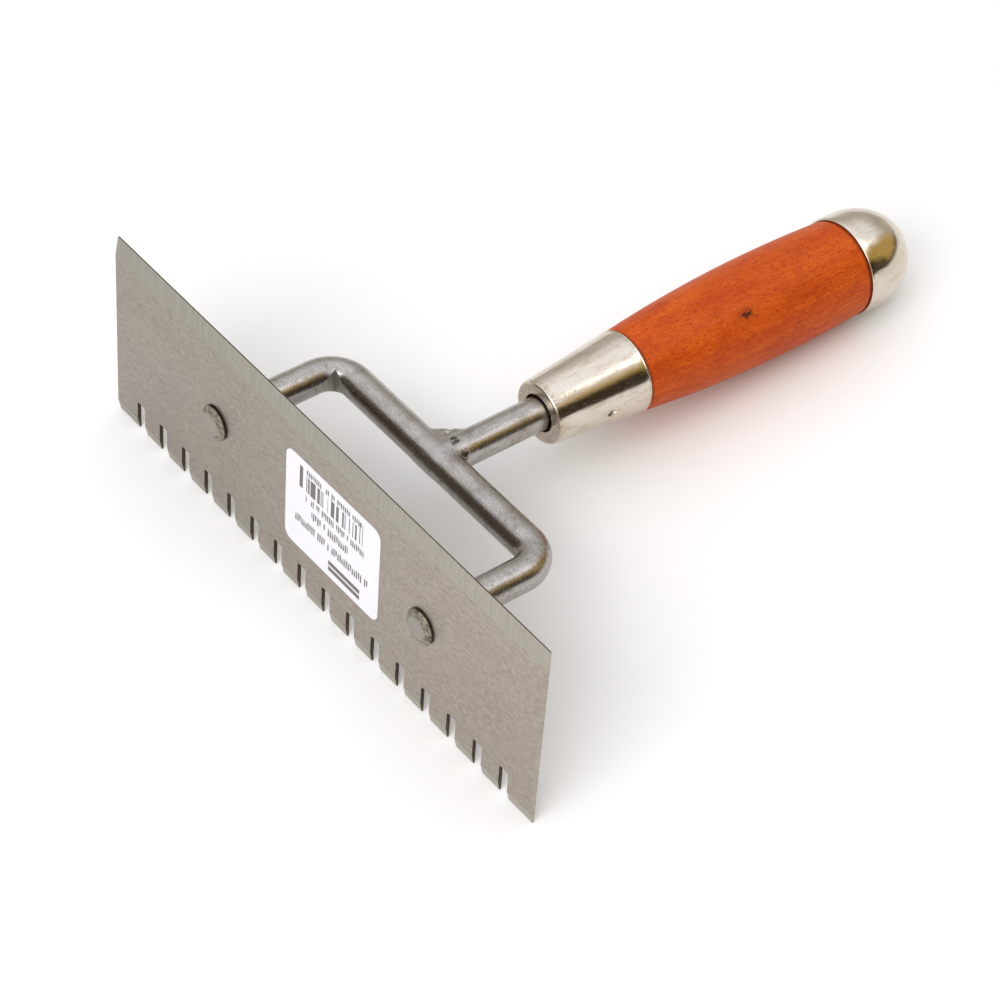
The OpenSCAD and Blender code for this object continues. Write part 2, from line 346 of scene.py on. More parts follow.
class Finish:
    """One material, whose nodes are added one by one."""

    def __init__(self, name):
        self.material = bpy.data.materials.new(name)
        self.material.use_nodes = True
        self.tree = self.material.node_tree
        self.tree.nodes.clear()

    def node(self, kind, settings, sockets, output=0):
        """Adds a node: its settings first, then the values or links of its sockets."""
        node = self.tree.nodes.new(kind)
        for key, value in settings.items():
            setattr(node, key, value)
        for key, value in sockets.items():
            if isinstance(value, Value):
                self.tree.links.new(value.socket, node.inputs[key])
            else:
                node.inputs[key].default_value = value
        return Value(self, node.outputs[output]) if node.outputs else None

    def tool_point(self):
        """The surface point in the upright tool's millimetres."""
        row = self.node("ShaderNodeTexCoord", {}, {}, "Object")
        upright = Euler((TILT, 0, 0))
        zero = Vector(TOOL_ZERO) / MM
        zero.rotate(upright)
        return self.node(
            "ShaderNodeMapping", {},
            {"Vector": row, "Scale": (1 / MM,) * 3, "Rotation": upright, "Location": -zero},
        )

    def axes(self, point):
        """A point's three numbers."""
        split = self.tree.nodes.new("ShaderNodeSeparateXYZ")
        self.tree.links.new(point.socket, split.inputs[0])
        return [Value(self, split.outputs[i]) for i in range(3)]

    def stretched(self, point, scale):
        return self.node(
            "ShaderNodeVectorMath", {"operation": "MULTIPLY"}, {0: point, 1: scale}
        )

    def moved(self, point, amount):
        return self.node("ShaderNodeVectorMath", {"operation": "ADD"}, {0: point, 1: amount})

    def point(self, x, y, z):
        return self.node("ShaderNodeCombineXYZ", {}, {0: x, 1: y, 2: z})

    def noise(self, point, scale=1.0, detail=3.0, rough=0.5, twist=0.0):
        return self.node(
            "ShaderNodeTexNoise", {},
            {"Vector": point, "Scale": scale, "Detail": detail, "Roughness": rough,
             "Distortion": twist},
        )

    def length(self, point):
        return self.node("ShaderNodeVectorMath", {"operation": "LENGTH"}, {0: point}, 1)

    def random(self, number):
        """A value of 0 to 1 that is different for each whole number."""
        return self.node(
            "ShaderNodeTexWhiteNoise", {"noise_dimensions": "1D"}, {"W": number}
        )

    def dots(self, point, scale):
        """Distance to the nearest of many scattered points."""
        return self.node("ShaderNodeTexVoronoi", {}, {"Vector": point, "Scale": scale})

    def mix(self, factor, first, second, blend="MIX"):
        """Mixes two colours."""
        sides = [side if isinstance(side, Value) else (*side, 1) for side in (first, second)]
        return self.node(
            "ShaderNodeMix", {"data_type": "RGBA", "blend_type": blend},
            {"Factor": factor, 6: sides[0], 7: sides[1]}, 2,
        )

    def bump(self, height, distance, strength=1.0):
        """Bump from a height of 0 to 1 that stands for a distance in millimetres."""
        return self.node(
            "ShaderNodeBump", {},
            {"Height": height, "Distance": distance * MM, "Strength": strength},
        )

    def surface(self, **sockets):
        """Ends the finish in a Principled shader; an underscore stands for a space."""
        shader = self.node(
            "ShaderNodeBsdfPrincipled", {},
            {key.replace("_", " "): value for key, value in sockets.items()},
        )
        self.node("ShaderNodeOutputMaterial", {}, {"Surface": shader})
        return self.material


class Room(Finish):
    """The world round the trowel, whose nodes are added in the same way."""

    def __init__(self, world):
        world.use_nodes = True
        self.tree = world.node_tree
        self.tree.nodes.clear()


# ------------------------------------------------------------ finishes

# Colours in linear red, green and blue
PIT_BROWN = (0.05, 0.035, 0.025)
STAIN_BROWN = (0.20, 0.165, 0.125)
ROLLED_DARK, ROLLED_PALE = (0.140, 0.112, 0.082), (0.255, 0.215, 0.168)
BAR_DARK, BAR_PALE = (0.29, 0.27, 0.252), (0.52, 0.495, 0.475)
WELD_DARK, WELD_PALE = (0.30, 0.28, 0.262), (0.50, 0.475, 0.455)

# Where the weld is gouged, and how each gouge is stretched
GOUGES = (
    ((-0.9, 43.9, 4.8), (0.8, 0.8, 0.8)),
    ((0.5, 43.5, 4.9), (1.0, 0.55, 1.0)),
    ((3.9, 43.6, 2.6), (0.9, 0.45, 0.45)),
)
KNOT = Vector((9.4, 133.8, 10.7))

# Printed rows on the label, from its middle: left, right, bottom, top, pitch, seed
PRINTED_ROWS = (
    (-11.5, 12.9, 11.5, 13.3, 0.80, 3.0),
    (-11.2, 13.3, 2.4, 4.7, 0.76, 11.0),
    (-8.6, 6.8, -1.9, 0.8, 0.90, 23.0),
    (-15.6, 15.3, -6.9, -4.2, 0.86, 41.0),
)


def blade_finish():
    """Cold-rolled strip, brushed lengthwise, with cross-ground bevels and small pits."""
    f = Finish("blade_brushed_steel")
    at = f.tool_point()
    x, y, z = f.axes(at)
    lines = f.noise(f.stretched(at, (0.30, 0.3, 3.0)), detail=3, rough=0.6)
    fine = f.noise(f.stretched(at, (0.55, 0.3, 6.5)), detail=3, rough=0.6)
    streaks = f.noise(f.stretched(at, (0.035, 0.3, 1.1)), detail=3, rough=0.6)
    cloud = f.noise(f.stretched(at, (0.035, 0.1, 0.12)), detail=3)
    satin = f.noise(at, 0.9, detail=4, rough=0.7)
    grain = (lines - 0.5) * 0.9 + (fine - 0.5) * 1.5 + (streaks - 0.5) * 0.35

    edge_wave = f.noise(f.stretched(at, (0.06, 0, 0)), detail=2) - 0.5
    top, edge_line, tooth_line = BLADE_H / 2, BLADE_H / 2 - EDGE_BEVEL, TOOTH_BEVEL - BLADE_H / 2
    in_front = y < 1.0
    edge = (z + edge_wave * 0.8).ramp(edge_line - 0.15, edge_line + 0.15) * in_front
    tooth = z.ramp(tooth_line + 0.1, tooth_line - 0.1) * in_front
    swing = (z - top).power(2) * 0.035
    across = f.noise(f.point((x + swing) * 3.4, 0, z * 0.12), detail=3, rough=0.7)
    cross = f.noise(f.point((x - swing) * 1.3, 0, z * 0.05), detail=3, rough=0.6)

    flat = f.mix((cloud - 0.5) * 1.4 + 0.5, (0.395, 0.352, 0.310), (0.445, 0.400, 0.355))
    flat = f.mix((grain + 0.5).ramp(0.1, 0.9), f.mix(1.0, flat, (0.66, 0.65, 0.64), "MULTIPLY"),
                 f.mix(1.0, flat, (1.30, 1.30, 1.30), "MULTIPLY"))
    edge_tint = f.mix((across * 0.6 + cross * 0.4).ramp(0.25, 0.75), (0.36, 0.338, 0.292),
                      (0.50, 0.478, 0.425))
    tooth_tint = f.mix(across, (0.41, 0.385, 0.335), (0.50, 0.475, 0.42))
    tint = f.mix(edge, flat, edge_tint)
    tint = f.mix(tooth, tint, tooth_tint)
    # Painted shade: the front and edges are darkened along the blade, most at its left end,
    # against the brighter floor reflected there
    painted_shade_to_left = f.mix(x.ramp(-BLADE_LEN / 2, BLADE_LEN / 2), (0.81, 0.81, 0.81), (0.93, 0.92, 0.90))
    tint = f.mix(1.0, tint, painted_shade_to_left, "MULTIPLY")
    tint = f.mix((z > top - 0.09) * (y < 1.16), tint, (0.09, 0.07, 0.05))

    pit_shape = f.dots(f.stretched(at, (0.10, 0.3, 0.16)), 1.0)
    pit_size = f.noise(at, 0.3)
    pits = pit_shape.ramp(0.045, 0.02) * (pit_size > 0.52)
    scratch_run = f.noise(f.stretched(f.moved(at, (7, 0, 3)), (0.045, 0, 2.2)), detail=1)
    scratches = scratch_run.ramp(0.735, 0.77)
    tint = f.mix(pits * 0.75, tint, PIT_BROWN)
    tint = f.mix(scratches * 0.35, tint, (0.18, 0.15, 0.12))

    scale_patch = (cloud - 0.5) * 1.5 + grain * 0.45 + (satin - 0.5) * 0.8 + 0.5
    rolled = f.mix(scale_patch, ROLLED_DARK, ROLLED_PALE)
    rolled = f.mix(scratches * 0.5, rolled, (0.36, 0.33, 0.29))
    tint = f.mix(y > BLADE_T - 0.05, tint, rolled)

    height = grain + across * edge * 0.5 - pits * 1.5 - scratches
    rough = 0.42 + (cloud - 0.5) * 0.10 + (lines - 0.5) * 0.2 + pits * 0.3
    return f.surface(
        Base_Color=tint, Metallic=1.0, Roughness=rough, Anisotropic=0.35,
        Normal=f.bump(height, 0.022, 0.7),
    )


def slot_finish():
    """Punched walls of the slots: dark, torn steel with a smear of oxide."""
    f = Finish("punched_steel")
    at = f.tool_point()
    tears = f.noise(f.stretched(at, (2.0, 7.0, 0.8)), detail=4, rough=0.7)
    rust = f.noise(at, 0.9, detail=3)
    tint = f.mix(tears.ramp(0.3, 0.75), (0.030, 0.022, 0.016), (0.16, 0.13, 0.10))
    tint = f.mix(rust.ramp(0.5, 0.75) * 0.5, tint, (0.11, 0.06, 0.03))
    return f.surface(
        Base_Color=tint, Metallic=0.75, Roughness=0.42 + tears * 0.3,
        Normal=f.bump(tears, 0.08),
    )


def bar_finish(name, along, brown):
    """Round bar, drawn and linished along one axis, with handling stains and pits."""
    f = Finish(name)
    at = f.tool_point()
    run = tuple(0.12 if i == along else 2.4 for i in range(3))
    lines = f.noise(f.stretched(at, run), detail=4, rough=0.6)
    satin = f.noise(at, 2.6, detail=3, rough=0.7)
    cloud = f.noise(at, 0.13, detail=4, rough=0.6)
    patches = f.noise(f.moved(at, (9, 4, 2)), 0.5, detail=4, rough=0.7)
    speck = f.dots(f.moved(at, (3, 5, 1)), 0.8)
    pits = speck.ramp(0.14, 0.06) * (f.noise(at, 0.5, detail=1) > 0.5)
    stain = (cloud * 0.6 + patches * 0.4).ramp(0.46, 0.66) * brown
    tint = f.mix((lines * 0.4 + satin * 0.6).ramp(0.30, 0.70), BAR_DARK, BAR_PALE)
    tint = f.mix(stain, tint, STAIN_BROWN)
    tint = f.mix(pits * 0.8, tint, PIT_BROWN)
    rough = 0.19 + satin * 0.10 + stain * 0.10 + pits * 0.3
    height = lines * 0.35 + satin * 0.75 + cloud * 1.0 - pits * 1.2
    return f.surface(
        Base_Color=tint, Metallic=1.0, Roughness=rough, Normal=f.bump(height, 0.055, 0.8)
    )


def head_finish():
    """Peened heads: hammered flanks with brown pits, a flat ground with the blade, and painted
    shade at the foot.
    """
    f = Finish("peened_steel")
    at = f.tool_point()
    y = f.axes(at)[1]
    ground = y.ramp(-HEAD_H + 0.35, -HEAD_H + 0.12)
    lines = f.noise(f.stretched(at, (0.4, 0.3, 4.5)), detail=4, rough=0.65)
    blotch = f.noise(at, 0.65, detail=4, rough=0.65)
    pits = f.dots(at, 1.25).ramp(0.34, 0.12) * (f.noise(at, 0.8, detail=2) > 0.48)
    flank = f.mix(blotch.ramp(0.35, 0.7), (0.36, 0.32, 0.27), (0.13, 0.10, 0.075))
    flank = f.mix(pits * 0.8, flank, (0.035, 0.025, 0.018))
    top = f.mix(lines, (0.27, 0.245, 0.215), (0.40, 0.37, 0.325))
    tint = f.mix(ground, flank, top)
    # Painted shade: the side wall goes near-black within about 0.85 mm of the blade, for the shade
    # in the gap under the head's rim
    tint = f.mix(y.ramp(-0.85, -0.5) * 0.85, tint, (0.05, 0.038, 0.028))
    rough = 0.40 + blotch * 0.12 - ground * 0.06
    height = blotch * (1 - ground) - pits * (1 - ground) * 0.8 + lines * 0.1
    return f.surface(
        Base_Color=tint, Metallic=1.0, Roughness=rough, Normal=f.bump(height, 0.16, 0.8)
    )


def filed_finish():
    """Flats filed in the bar's inner corners: rough and pale, with marks across."""
    f = Finish("filed_flats")
    at = f.tool_point()
    marks = f.noise(f.stretched(at, (2.6, 2.6, 0.30)), detail=4, rough=0.7)
    blotch = f.noise(at, 0.7, detail=3)
    tint = f.mix(marks.ramp(0.3, 0.7), (0.34, 0.33, 0.29), (0.60, 0.585, 0.53))
    tint = f.mix(blotch.ramp(0.5, 0.75) * 0.5, tint, (0.25, 0.21, 0.16))
    return f.surface(
        Base_Color=tint, Metallic=0.85, Roughness=0.45 + marks * 0.15,
        Normal=f.bump(marks, 0.06, 0.8),
    )


def weld_finish():
    """Weld metal dressed back with a file: satin, pitted, with one dark gouge left in it."""
    f = Finish("dressed_weld")
    at = f.tool_point()
    blotch = f.noise(at, 0.32, detail=5, rough=0.6)
    satin = f.noise(at, 2.6, detail=3, rough=0.7)
    file_marks = f.noise(f.stretched(at, (1.6, 0.5, 0.35)), detail=4, rough=0.6)
    pits = f.dots(f.moved(at, (1, 2, 5)), 0.75).ramp(0.16, 0.06) * (f.noise(at, 0.45) > 0.5)
    ragged = f.noise(at, 1.4, detail=3, rough=0.7) - 0.5
    gouged = None
    for spot, stretch in GOUGES:
        from_spot = f.stretched(f.moved(at, tuple(-a for a in spot)), stretch)
        cut = (f.length(from_spot) + ragged * 2.6).ramp(0.85, 0.45)
        gouged = cut if gouged is None else gouged.most(cut)
    tint = f.mix(file_marks * 0.5 + satin * 0.5, WELD_DARK, WELD_PALE)
    tint = f.mix(blotch.ramp(0.52, 0.75) * 0.6, tint, STAIN_BROWN)
    tint = f.mix(pits.most(gouged) * 0.85, tint, (0.035, 0.026, 0.020))
    return f.surface(
        Base_Color=tint, Metallic=1.0, Roughness=0.21 + blotch * 0.12 + pits * 0.2,
        Normal=f.bump(blotch * 1.2 + file_marks * 0.4 - pits - gouged * 1.5, 0.10, 0.8),
    )


def nickel_finish(name, wear, mark=None):
    """Warm nickel plate over drawn steel, polished, with pinholes and handling scuffs.
    A mark is where the ferrule is punched: dirt lies round it, and tarnish at both ends."""
    f = Finish(name)
    at = f.tool_point()
    cloud = f.noise(at, 0.10, detail=4, rough=0.6)
    orange_peel = f.noise(at, 0.55, detail=2)
    scuffs = f.noise(f.stretched(at, (2.2, 0.35, 2.2)), detail=3, rough=0.6, twist=0.4)
    pin_field = f.dots(at, 0.85)
    pins = pin_field.ramp(0.17, 0.06) * (f.noise(at, 0.35, detail=1) > 0.47)
    smear = f.noise(f.stretched(f.moved(at, (4, 1, 8)), (0.5, 0.12, 0.5)), detail=4, rough=0.65)
    tint = f.mix(cloud.ramp(0.3, 0.75), (0.68, 0.62, 0.55), (0.64, 0.565, 0.46))
    tint = f.mix(smear.ramp(0.46, 0.68) * 0.55 * wear, tint, (0.46, 0.37, 0.25))
    tint = f.mix(scuffs.ramp(0.50, 0.72) * 0.35 * wear, tint, (0.50, 0.44, 0.36))
    tint = f.mix(pins * 0.8, tint, (0.13, 0.085, 0.045))
    if mark is not None:
        near = f.node("ShaderNodeVectorMath", {"operation": "DISTANCE"}, {0: at, 1: mark}, 1)
        dirt = (near + (scuffs - 0.5) * 1.2).ramp(1.5, 0.7)
        tint = f.mix(dirt * 0.8, tint, (0.12, 0.08, 0.04))
        along = f.axes(at)[1]
        ends = along.ramp(FERRULE_Y + 2.4, FERRULE_Y + 0.7) + along.ramp(GRIP_Y - 1.6, GRIP_Y)
        tint = f.mix(ends * scuffs.ramp(0.40, 0.65) * 0.55, tint, (0.30, 0.22, 0.12))
    rough = 0.12 + wear * 0.03 + scuffs.ramp(0.42, 0.75) * 0.12 * wear + pins * 0.3
    return f.surface(
        Base_Color=tint, Metallic=1.0, Roughness=rough,
        Normal=f.bump(orange_peel * 0.6 + scuffs * 0.12 - pins * 0.8, 0.040, 0.6),
    )


def tarnish_finish():
    """The brad: dull brown metal."""
    f = Finish("tarnished_steel")
    at = f.tool_point()
    blotch = f.noise(at, 1.4, detail=4)
    tint = f.mix(blotch, (0.12, 0.09, 0.06), (0.42, 0.36, 0.28))
    return f.surface(
        Base_Color=tint, Metallic=0.8, Roughness=0.45 + blotch * 0.25,
        Normal=f.bump(blotch, 0.08),
    )


def wood_finish():
    """Orange-red stained hardwood under gloss varnish, with pores and one small knot; the nose
    inside the ferrule is painted near-black as shade.
    """
    f = Finish("stained_varnished_wood")
    at = f.tool_point()
    x, y, z = f.axes(at)
    ragged = f.noise(at, 1.5, detail=3, rough=0.7) - 0.5
    from_knot = f.stretched(f.moved(at, tuple(-KNOT)), (1.0, 0.62, 1.0))
    reach = f.length(from_knot) + ragged * 4.4
    bend = reach.ramp(7.0, 0.5) * 1.6
    warped = f.point(x + bend, y, z - bend)
    wave = f.noise(f.stretched(at, (0.05, 0.018, 0.05)), detail=2)
    figure = f.noise(f.stretched(warped, (0.32, 0.028, 0.32)), detail=5, rough=0.62, twist=0.5)
    grain = f.noise(f.stretched(warped, (1.9, 0.075, 1.9)), detail=4, rough=0.65)
    fibre = f.noise(f.stretched(warped, (2.6, 0.60, 2.6)), detail=3, rough=0.65)
    pore_field = f.noise(f.stretched(warped, (2.2, 0.70, 2.2)), detail=3, rough=0.6)
    pores = pore_field.ramp(0.60, 0.70)
    flecks = f.noise(f.stretched(warped, (1.9, 0.55, 1.9)), detail=5, rough=0.8)
    mottle = f.noise(f.stretched(at, (0.16, 0.10, 0.16)), detail=5, rough=0.7)

    tint = f.mix(figure.ramp(0.30, 0.70), (0.61, 0.105, 0.009), (0.49, 0.058, 0.004))
    tint = f.mix(grain.ramp(0.35, 0.75) * 0.35, tint, (0.36, 0.040, 0.004))
    tint = f.mix(fibre.ramp(0.42, 0.70) * 0.50, tint, (0.70, 0.140, 0.011))
    tint = f.mix(mottle.ramp(0.45, 0.66) * 0.42, tint, (0.36, 0.032, 0.004))
    tint = f.mix(flecks.ramp(0.50, 0.64) * 0.62, tint, (0.31, 0.026, 0.004))
    tint = f.mix(pores * 0.65, tint, (0.19, 0.016, 0.003))
    # Painted shade: the nose inside the ferrule, seen only through the gap round the hole, is
    # painted near-black
    hidden = y.ramp(FERRULE_Y + 4, FERRULE_Y + 3)
    tint = f.mix(hidden * 0.97, tint, (0.012, 0.006, 0.003))
    eye = reach.ramp(1.15, 0.65)
    halo = reach.ramp(3.2, 1.0)
    tint = f.mix(halo * 0.35, tint, (0.30, 0.045, 0.008))
    tint = f.mix(eye * 0.9, tint, (0.035, 0.012, 0.006))
    end = GRIP_Y + GRIP_LEN
    seam = y.ramp(GRIP_Y + 1.0, GRIP_Y + 0.1) + y.ramp(end - 0.9, end - 0.1)
    tint = f.mix(seam * 0.55, tint, (0.10, 0.016, 0.005))
    relief = f.bump(fibre * 0.4 + grain * 0.4 - pores * 0.9 + wave, 0.05, 0.7)
    lacquer = f.noise(at, 0.16, detail=2)
    return f.surface(
        Base_Color=tint, Roughness=0.44 + grain * 0.12, Normal=relief, IOR=1.5,
        Specular_IOR_Level=0.10, Coat_Weight=0.03 + lacquer * 0.08, Coat_Roughness=0.22,
    )


def greeked(f, u, v, left, right, low, high, pitch, seed):
    """A row of short plain strokes in place of lettering."""
    cell = u / pitch
    word = f.random(cell.maths("FLOOR") + seed)
    spot = cell.wrapped(1.0)
    stroke = spot.ramp(0.12, 0.2) * spot.ramp(0.88, 0.76) * (word > 0.16)
    inside = (u > left) * (u < right) * (v > low) * (v < high)
    half = (v - (low + high) / 2) * ((word - 0.5) * 2)
    return stroke * inside * half.ramp(-0.9, 0.1)


def label_finish():
    """White coated paper with plain bars and strokes printed in dark grey-brown."""
    f = Finish("printed_paper")
    at = f.tool_point()
    x, _, z = f.axes(at)
    u = x - LABEL_X
    v = z - LABEL_Z
    dark_bar = f.random((u / 0.36).maths("FLOOR") + 31.0) > 0.44
    gap = (abs(u + 1.4) > 0.55) * (abs(u - 6.4) > 0.3)
    bars = dark_bar * (u > -14.0) * (u < 12.4) * (v > 5.7) * (v < 11.0) * gap
    guards = (abs(u + 13.3) < 0.7) + (abs(u - 11.8) < 0.7) + (abs(u + 0.9) < 0.6)
    printed = (bars + dark_bar * guards * (v > 5.7) * (v < 13.0)).least(1.0)
    for row in PRINTED_ROWS:
        printed = printed.most(greeked(f, u, v, *row))
    from_middle = abs(v + 11.6)
    two_bands = (from_middle < 1.7) * (1 - (from_middle < 0.28))
    printed = printed.most((abs(u - 5.6) < 6.6) * two_bands)
    speckle = f.noise(at, 3.0, detail=2)
    ink = f.mix(speckle, (0.030, 0.023, 0.018), (0.09, 0.072, 0.058))
    paper = f.mix(f.noise(at, 0.25, detail=2), (0.765, 0.755, 0.80), (0.83, 0.82, 0.86))
    rim = abs(u).ramp(LABEL_W / 2 - 0.5, LABEL_W / 2) + abs(v).ramp(LABEL_H / 2 - 0.5, LABEL_H / 2)
    paper = f.mix(rim * 0.25, paper, (0.60, 0.58, 0.56))
    tint = f.mix(printed * (0.80 + speckle * 0.2), paper, ink)
    fibres = f.noise(f.stretched(at, (1.5, 1.5, 1.5)), detail=4)
    return f.surface(
        Base_Color=tint, Roughness=0.38 + fibres * 0.14, Normal=f.bump(fibres, 0.012, 0.5)
    )


# ------------------------------------------------------------ blade


def make_blade():
    """Sheet with both bevels drawn back, slots and tenon holes cut, and edges eased."""
    half = BLADE_H / 2
    blade = box("blade_plate", (BLADE_LEN, BLADE_T, BLADE_H), (0, BLADE_T / 2, 0))
    edit(blade)
    for height in (half - EDGE_BEVEL, TOOTH_BEVEL - half):
        bpy.ops.mesh.select_all(action="SELECT")
        bpy.ops.mesh.bisect(plane_co=(0, 0, height), plane_no=(0, 0, 1))
    pick(blade, "verts", lambda v: v.co.y < NEAR and v.co.z > half - NEAR)
    bpy.ops.transform.translate(value=(0, BLADE_T - EDGE_LAND, 0))
    pick(blade, "verts", lambda v: v.co.y < NEAR and v.co.z < NEAR - half)
    bpy.ops.transform.translate(value=(0, BLADE_T - TOOTH_LAND, 0))
    bpy.ops.mesh.select_mode(type="EDGE")
    pick(blade, "edges", lambda e: abs(middle(e).x) > BLADE_LEN / 2 - NEAR
         and middle(e).z > half - NEAR)
    bpy.ops.mesh.bevel(offset=CORNER_R, segments=5, affect="EDGES")
    done()

    through = 4
    slot = box(
        "slot_punch", (SLOT_W, through, SLOT_DEPTH + 2),
        (0, BLADE_T / 2, SLOT_DEPTH / 2 - half - 1),
    )
    edit(slot, "EDGE")
    pick(slot, "edges", lambda e: middle(e).z > SLOT_DEPTH - half - 0.1
         and abs(middle(e).x) > SLOT_W / 2 - 0.1 and abs(middle(e).y - BLADE_T / 2) < 0.1)
    bpy.ops.mesh.bevel(offset=SLOT_CORNER, segments=5, affect="EDGES")
    done()
    punches = []
    for i in range(SLOTS):
        punch = twin(slot, "punch")
        punch.location.x = (i - (SLOTS - 1) / 2) * SLOT_PITCH
        punches.append(settle(punch))
    for side in (-1, 1):
        punches.append(fresh(
            bpy.ops.mesh.primitive_cylinder_add, "drill", vertices=48, radius=TENON_R,
            depth=through, location=(side * LEG_X, BLADE_T / 2, 0), rotation=(QUARTER, 0, 0),
        ))
        settle(punches[-1])
    bpy.data.objects.remove(slot)
    cut_away(blade, join(*punches))
    modify(blade, "BEVEL", width=0.05, segments=2, limit_method="ANGLE",
           angle_limit=math.radians(40))
    smooth(blade, 5)
    hand_over(blade, "blade", "blade_steel", blade_finish(), slot_finish())
    for face in blade.data.polygons:
        spot = face.center / MM
        cut = abs(face.normal.x) > 0.5 and abs(spot.x) < BLADE_LEN / 2 - 0.5
        crown = face.normal.z < -0.5 and spot.z > SLOT_DEPTH / 2
        if cut or crown:
            face.material_index = 1


# ------------------------------------------------------------ bent bar


def make_stirrup():
    """Half of the bent bar is drawn from a ring of edges, then mirrored and filed."""
    bar = ring("bent_bar", BAR_R, (0, BAR_Y, 0), (0, QUARTER, 0), 48, filled=False)
    straight = LEG_X - BEND_R
    pull_tube((straight, 0, 0), 18)
    bpy.ops.mesh.spin(
        steps=16, angle=QUARTER, center=(straight, BAR_Y - BEND_R, 0), axis=(0, 0, 1)
    )
    pull_tube((0, -(BAR_Y - BEND_R - BLADE_T), 0), 16)
    pull_ring((0, 0, 0), TENON_R / BAR_R)
    pull_ring((0, -BLADE_T, 0))
    radius = TENON_R
    for step, next_radius in HEAD_RINGS:
        pull_ring((0, -step, 0), next_radius / radius)
        radius = next_radius
    bpy.ops.mesh.edge_face_add()
    done()
    modify(bar, "MIRROR", use_axis=(True, False, False), use_mirror_merge=True,
           merge_threshold=NEAR)
    edit(bar)
    close_up()
    done()
    for side, depth, taper in FILED:
        cut_away(bar, square_file(side, depth, taper))
    smooth(bar, 28)
    hand_over(
        bar, "stirrup", "bar_steel", bar_finish("linished_bar", 0, 0.55), head_finish(),
        filed_finish(),
    )
    # Each filed flat is one face, with far more corners than any face of the round bar
    few_corners = 6
    for face in bar.data.polygons:
        spot = (Matrix.Rotation(TILT, 4, "X") @ (face.center - TOOL_ZERO)) / MM
        if spot.y < BLADE_T / 2:
            face.material_index = 1
        elif len(face.vertices) > few_corners:
            face.material_index = 2


def square_file(side, depth, taper):
    """A block whose corner sits in the inside of one bend, with its two flats tapered off."""
    corner_x, corner_y = LEG_X - BAR_R + depth, BAR_Y - BAR_R + depth
    file = box(
        "square_file", (FILE_SIZE,) * 3,
        (corner_x - FILE_SIZE / 2, corner_y - FILE_SIZE / 2, 0),
    )
    edit(file)
    pick(file, "verts", lambda v: v.co.x < corner_x - 1 and v.co.y > corner_y - 1)
    bpy.ops.transform.translate(value=(0, -taper, 0))
    pick(file, "verts", lambda v: v.co.x > corner_x - 1 and v.co.y < corner_y - 1)
    bpy.ops.transform.translate(value=(-taper, 0, 0))
    done()
    if side < 0:
        only(file)
        bpy.ops.transform.mirror(
            constraint_axis=(True, False, False), center_override=(0, 0, 0)
        )
        settle(file)
        edit(file)
        close_up()
        done()
    return file


def make_stem():
    """Round stem that narrows to the square tapered tang inside the wood."""
    seat = 2.5
    stem = ring("tang_stem", STEM_R, (0, BAR_Y + seat, 0), (-QUARTER, 0, 0), 48)
    pull_tube((0, TANG_Y - BAR_Y - seat, 0), 14)
    done()
    tang = box(
        "tang", (TANG_TIP, TANG_LEN + 1, TANG_TIP), (0, TANG_Y + TANG_LEN / 2 - 0.5, 0)
    )
    edit(tang)
    pick(tang, "verts", lambda v: v.co.y < TANG_Y + 1)
    grow = TANG_ROOT / TANG_TIP
    bpy.ops.transform.resize(value=(grow, 1, grow))
    done()
    modify(tang, "BEVEL", width=0.3, segments=2)
    join(stem, tang)
    edit(stem)
    close_up()
    done()
    smooth(stem, 40)
    hand_over(stem, "stem", "bar_steel", bar_finish("linished_stem", 1, 0.65))


def make_weld():
    """Filler metal: bar, stem and a leaning wedge are melted together, so that only the
    hollow fillet between them shows."""
    root_r, lapped_r = BAR_R - WELD_THIN, BAR_R + WELD_LAP
    bar_core = ring("weld_metal", root_r, (-13, BAR_Y, 0), (0, QUARTER, 0), 64)
    pull_ring((8, 0, 0), lapped_r / root_r)
    pull_ring((6, 0, 0))
    pull_ring((8, 0, 0), root_r / lapped_r)
    done()
    lapped_r = STEM_R + WELD_LAP
    stem_core = ring("weld_stem", lapped_r, (0, BAR_Y, 0), (QUARTER, 0, 0), 64)
    pull_ring((0, 7, 0))
    pull_ring((0, 8, 0), (STEM_R - WELD_THIN) / lapped_r)
    close_up()
    done()
    wedge = box(
        "weld_wedge", (8.6, 5.0, 7.6), (-4.5, BAR_Y + 5.7, 0), (0, 0, math.radians(57))
    )
    modify(wedge, "BEVEL", width=1.3, segments=4)
    metal = join(bar_core, stem_core, wedge)
    modify(metal, "REMESH", mode="VOXEL", voxel_size=0.35)
    modify(metal, "SMOOTH", factor=0.5, iterations=70)
    ripple(metal, 2.2, 0.10)
    edit(metal)
    dents = (((-5.6, BAR_Y + 7.2, 2.9), 0.9, -0.45), ((-4.2, BAR_Y + 5.4, 3.9), 0.6, -0.30))
    for spot, size, depth in dents:
        if pick(metal, "verts", lambda v: (v.co - Vector(spot)).length < size):
            bpy.ops.transform.shrink_fatten(value=depth)
    done()
    modify(metal, "SMOOTH", factor=0.4, iterations=2)
    smooth(metal, 60)
    hand_over(metal, "weld_bead", "weld_metal", weld_finish())


# ------------------------------------------------------------ ferrule and brad


